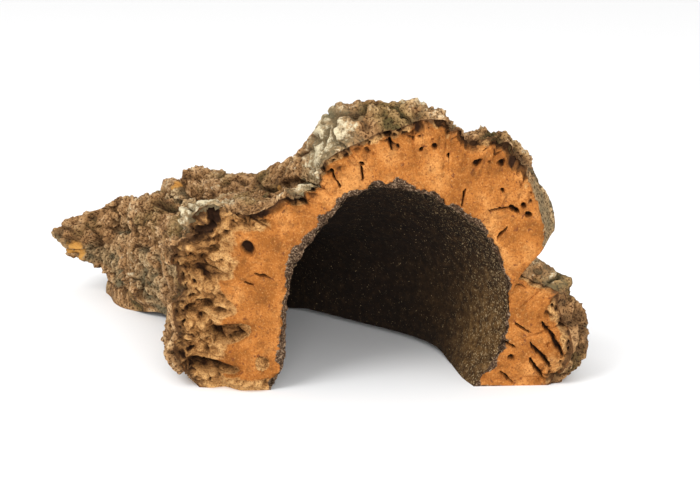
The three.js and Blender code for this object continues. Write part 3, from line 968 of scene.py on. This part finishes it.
on_knobs = {"Height": fine, "Distance": 0.0012, "Normal": knobby}
gritty = add_node(tree, "ShaderNodeBump", "Normal", on_knobs)
tree.links.new(gritty, shader.inputs["Normal"])

# Sawn cork: orange tan and close-grained, with small dark pores and paler grains. It is brown and crumbly
# where it broke off, darker at the skin, and speckled with the lining's black at its inner edge. Its holes,
# cracks, pits and broken crags are painted darker the deeper they are, as painted shade.
CUT_TONE_MM = 15
CUT_CRUMB_MM = 3.4
CUT_GRIT_MM = 0.9
PORE_MM = 2.4

cut_material, tree, shader, place = new_material("sawn_cork", 0.85)
sunken = add_node(tree, "ShaderNodeAttribute", "Fac", attribute_name="sunken")
wear_and_mouth_light = add_node(tree, "ShaderNodeAttribute", "Fac", attribute_name="wear_and_mouth_light")
wall = add_node(tree, "ShaderNodeAttribute", "Fac", attribute_name="wall")
tone_pattern = {"Vector": place, "Scale": 1 / CUT_TONE_MM, "Detail": 3}
broad = add_node(tree, "ShaderNodeTexNoise", "Fac", tone_pattern)
crumb_pattern = {"Vector": place, "Scale": 1 / CUT_CRUMB_MM, "Detail": 4}
middle = add_node(tree, "ShaderNodeTexNoise", "Fac", crumb_pattern)
grit_pattern = {"Vector": place, "Scale": 1 / CUT_GRIT_MM, "Detail": 2, "Roughness": 0.65}
fine = add_node(tree, "ShaderNodeTexNoise", "Fac", grit_pattern)
tans = [(0.34, "#8A521E"), (0.5, "#A4652B"), (0.66, "#BE8144")]
colour = add_node(tree, "ShaderNodeValToRGB", "Color", {"Fac": broad}, tans)
clouds = add_node(tree, "ShaderNodeValToRGB", "Color", {"Fac": middle}, [(0.34, 0.6), (0.52, 1.0)])
clouded = {0: 0.75, 6: colour, 7: clouds}
colour = add_node(tree, "ShaderNodeMix", 2, clouded, data_type="RGBA", blend_type="MULTIPLY")
dark_grains = add_node(tree, "ShaderNodeValToRGB", "Color", {"Fac": fine}, [(0.35, 0.85), (0.45, 0.0)])
colour = add_node(tree, "ShaderNodeMix", 2, {0: dark_grains, 6: colour, 7: "#7C4620"}, data_type="RGBA")
pores = add_node(tree, "ShaderNodeTexNoise", "Fac", {"Vector": place, "Scale": 1 / PORE_MM, "Detail": 2})
pores = add_node(tree, "ShaderNodeValToRGB", "Color", {"Fac": pores}, [(0.29, 0.85), (0.36, 0.0)])
colour = add_node(tree, "ShaderNodeMix", 2, {0: pores, 6: colour, 7: "#68391D"}, data_type="RGBA")
pale_grains = add_node(tree, "ShaderNodeValToRGB", "Color", {"Fac": fine}, [(0.56, 0.0), (0.74, 0.4)])
colour = add_node(tree, "ShaderNodeMix", 2, {0: pale_grains, 6: colour, 7: "#DDA667"}, data_type="RGBA")
# Painted shade: the broken crags go from pale brown on their tops to dark brown in their hollows, by how
# sunken each place is.
crumbs = add_node(tree, "ShaderNodeMix", 0, {0: 0.45, 2: sunken, 3: middle})
broken_browns = [(0.22, "#CC9E64"), (0.36, "#AD7E49"), (0.48, "#875E34"), (0.62, "#4A2E16")]
crumbs = add_node(tree, "ShaderNodeValToRGB", "Color", {"Fac": crumbs}, broken_browns)
dark_to_clear = [(0.38, "#7E552E"), (0.52, "#FFFFFF")]
grains = add_node(tree, "ShaderNodeValToRGB", "Color", {"Fac": fine}, dark_to_clear)
speckled = {0: 0.6, 6: crumbs, 7: grains}
crumbs = add_node(tree, "ShaderNodeMix", 2, speckled, data_type="RGBA", blend_type="MULTIPLY")
crumbly = add_node(tree, "ShaderNodeMath", 0, {0: middle, 1: 0.7, 2: wear_and_mouth_light}, operation="MULTIPLY_ADD")
crumbly = add_node(tree, "ShaderNodeMapRange", 0, {"Value": crumbly, "From Min": 0.72, "From Max": 0.95})
colour = add_node(tree, "ShaderNodeMix", 2, {0: crumbly, 6: colour, 7: crumbs}, data_type="RGBA")
near_skin = add_node(tree, "ShaderNodeMath", 0, {0: middle, 1: 0.34, 2: wall}, operation="MULTIPLY_ADD")
skin_range = {"Value": near_skin, "From Min": 1.04, "From Max": 1.16}
near_skin = add_node(tree, "ShaderNodeMapRange", 0, skin_range)
colour = add_node(tree, "ShaderNodeMix", 2, {0: near_skin, 6: colour, 7: "#5E4127"}, data_type="RGBA")
# Painted shade: holes, cracks, pits and hollows are painted dark brown by their depth; the crown's dark
# streaks and blotches, its own colour, darken the same way.
hole = add_node(tree, "ShaderNodeMapRange", 0, {"Value": sunken, "From Min": 0.35, "From Max": 1.0})
colour = add_node(tree, "ShaderNodeMix", 2, {0: hole, 6: colour, 7: "#2C190C"}, data_type="RGBA")
fringe = add_node(tree, "ShaderNodeAttribute", "Fac", attribute_name="fringe")
fringe = add_node(tree, "ShaderNodeMath", 0, {0: fine, 1: 0.9, 2: fringe}, operation="MULTIPLY_ADD")
fringe = add_node(tree, "ShaderNodeMapRange", 0, {"Value": fringe, "From Min": 0.8, "From Max": 0.95})
fibre_browns = [(0.38, "#2A1D14"), (0.54, "#523D2B"), (0.68, "#927C64")]
fibres = add_node(tree, "ShaderNodeValToRGB", "Color", {"Fac": fine}, fibre_browns)
colour = add_node(tree, "ShaderNodeMix", 2, {0: fringe, 6: colour, 7: fibres}, data_type="RGBA")
tree.links.new(colour, shader.inputs["Base Color"])
craggy = add_node(tree, "ShaderNodeMath", 0, {0: crumbly, 1: 0.0007, 2: 0.0005}, operation="MULTIPLY_ADD")
pitted = add_node(tree, "ShaderNodeBump", "Normal", {"Height": middle, "Distance": craggy})
on_pits = {"Height": fine, "Distance": craggy, "Normal": pitted}
grainy = add_node(tree, "ShaderNodeBump", "Normal", on_pits)
tree.links.new(grainy, shader.inputs["Normal"])

# Lining: the inner face, which grew against the wood. Tannin stains it nearly black, and it is painted
# darker still further in from the mouth, as painted shade. Near the mouth on its right it is painted a
# lighter, warmer brown, as painted light. Loose pale fibres and dust speckle it, most of all near the
# mouth.
STAIN_MM = 4
LINING_GRIT_MM = 1.2

lining_material, tree, shader, place = new_material("tannin_stained_lining", 0.95)
wear_and_mouth_light = add_node(tree, "ShaderNodeAttribute", "Fac", attribute_name="wear_and_mouth_light")
painted_light_patch = add_node(tree, "ShaderNodeAttribute", "Fac", attribute_name="lichen_and_painted_light")
stain_pattern = {"Vector": place, "Scale": 1 / STAIN_MM, "Detail": 7, "Roughness": 0.7}
middle = add_node(tree, "ShaderNodeTexNoise", "Fac", stain_pattern)
grit_pattern = {"Vector": place, "Scale": 1 / LINING_GRIT_MM, "Detail": 3, "Roughness": 0.75}
fine = add_node(tree, "ShaderNodeTexNoise", "Fac", grit_pattern)
stains = [(0.36, "#150D07"), (0.52, "#281A0F"), (0.68, "#4A351F")]
colour = add_node(tree, "ShaderNodeValToRGB", "Color", {"Fac": middle}, stains)
# Painted light: near the mouth on the right, the lining is painted a lighter, warmer brown.
warm_browns = [(0.36, "#3A2611"), (0.52, "#614524"), (0.66, "#84643C")]
warm = add_node(tree, "ShaderNodeValToRGB", "Color", {"Fac": middle}, warm_browns)
colour = add_node(tree, "ShaderNodeMix", 2, {0: painted_light_patch, 6: colour, 7: warm}, data_type="RGBA")
# Painted shade: the lining is painted darker, towards nearly black, the further in from the mouth it lies.
painted_shade_further_in = add_node(tree, "ShaderNodeMapRange", 0, {"Value": wear_and_mouth_light, "To Min": 0.7, "To Max": 0.0})
colour = add_node(tree, "ShaderNodeMix", 2, {0: painted_shade_further_in, 6: colour, 7: "#130C07"}, data_type="RGBA")
dust = add_node(tree, "ShaderNodeMath", 0, {0: wear_and_mouth_light, 1: 0.1, 2: fine}, operation="MULTIPLY_ADD")
dust = add_node(tree, "ShaderNodeMapRange", 0, {"Value": dust, "From Min": 0.64, "From Max": 0.76})
colour = add_node(tree, "ShaderNodeMix", 2, {0: dust, 6: colour, 7: "#AC946F"}, data_type="RGBA")
tree.links.new(colour, shader.inputs["Base Color"])
lumpy = add_node(tree, "ShaderNodeBump", "Normal", {"Height": middle, "Distance": 0.0015})
on_lumps = {"Height": fine, "Distance": 0.0008, "Normal": lumpy}
fibrous = add_node(tree, "ShaderNodeBump", "Normal", on_lumps)
tree.links.new(fibrous, shader.inputs["Normal"])

for material in (crust_material, cut_material, lining_material):
    bark_mesh.materials.append(material)

# The plain stage
# A white table that runs out of sight, soft light all round, a large soft lamp high on the left and a
# broader one low in front.

floor_mesh = bpy.data.meshes.new("table_top")
reach = 6
table_corners = [(-reach, -reach, 0), (reach, -reach, 0), (reach, reach, 0), (-reach, reach, 0)]
floor_mesh.from_pydata(table_corners, [], [(0, 1, 2, 3)])
floor = bpy.data.objects.new("table_top", floor_mesh)
bpy.context.scene.collection.objects.link(floor)
white = bpy.data.materials.new("matt_white_table")
white.use_nodes = True
white.node_tree.nodes["Principled BSDF"].inputs["Base Color"].default_value = linear("#F0F0F0")
white.node_tree.nodes["Principled BSDF"].inputs["Roughness"].default_value = 0.9
floor_mesh.materials.append(white)

world = bpy.data.worlds.new("soft_room")
world.use_nodes = True
world.node_tree.nodes["Background"].inputs["Color"].default_value = (1, 1, 1, 1)
world.node_tree.nodes["Background"].inputs["Strength"].default_value = 1.0
bpy.context.scene.world = world


def soft_lamp(name, place, target, size, power):
    lamp = bpy.data.lights.new(name, "AREA")
    lamp.shape = "SQUARE"
    lamp.size = size
    lamp.energy = power
    holder = bpy.data.objects.new(name, lamp)
    holder.location = place
    holder.rotation_euler = (Vector(target) - Vector(place)).to_track_quat("-Z", "Y").to_euler()
    bpy.context.scene.collection.objects.link(holder)


LIT_SPOT = (0, 0, 0.05)
soft_lamp("window", (-0.9, -0.9, 1.5), LIT_SPOT, 0.9, 17)
soft_lamp("fill", (0.3, -1.8, 0.5), LIT_SPOT, 1.2, 25)

# The camera looks along +Y from 15 degrees above, 0.85 m in front of the sawn mouth.
CAMERA_ABOVE = math.radians(15)
CAMERA_AWAY = 0.85
FOCUS_PIXELS = 1700
FRAME_WIDTH = 700
SENSOR_WIDTH = 36
AIM_X = -0.0225
AIM_Z = 0.0744
target = Vector((AIM_X - MIDDLE[0] / 1000, -MIDDLE[1] / 1000, AIM_Z))
back = Vector((0, -math.cos(CAMERA_ABOVE), math.sin(CAMERA_ABOVE)))
camera_data = bpy.data.cameras.new("camera")
camera_data.sensor_width = SENSOR_WIDTH
camera_data.lens = SENSOR_WIDTH * FOCUS_PIXELS / FRAME_WIDTH
camera = bpy.data.objects.new("camera", camera_data)
camera.location = target + back * CAMERA_AWAY
camera.rotation_euler = (-back).to_track_quat("-Z", "Y").to_euler()
bpy.context.scene.collection.objects.link(camera)
bpy.context.scene.camera = camera
bpy.context.scene.view_settings.view_transform = "Standard"
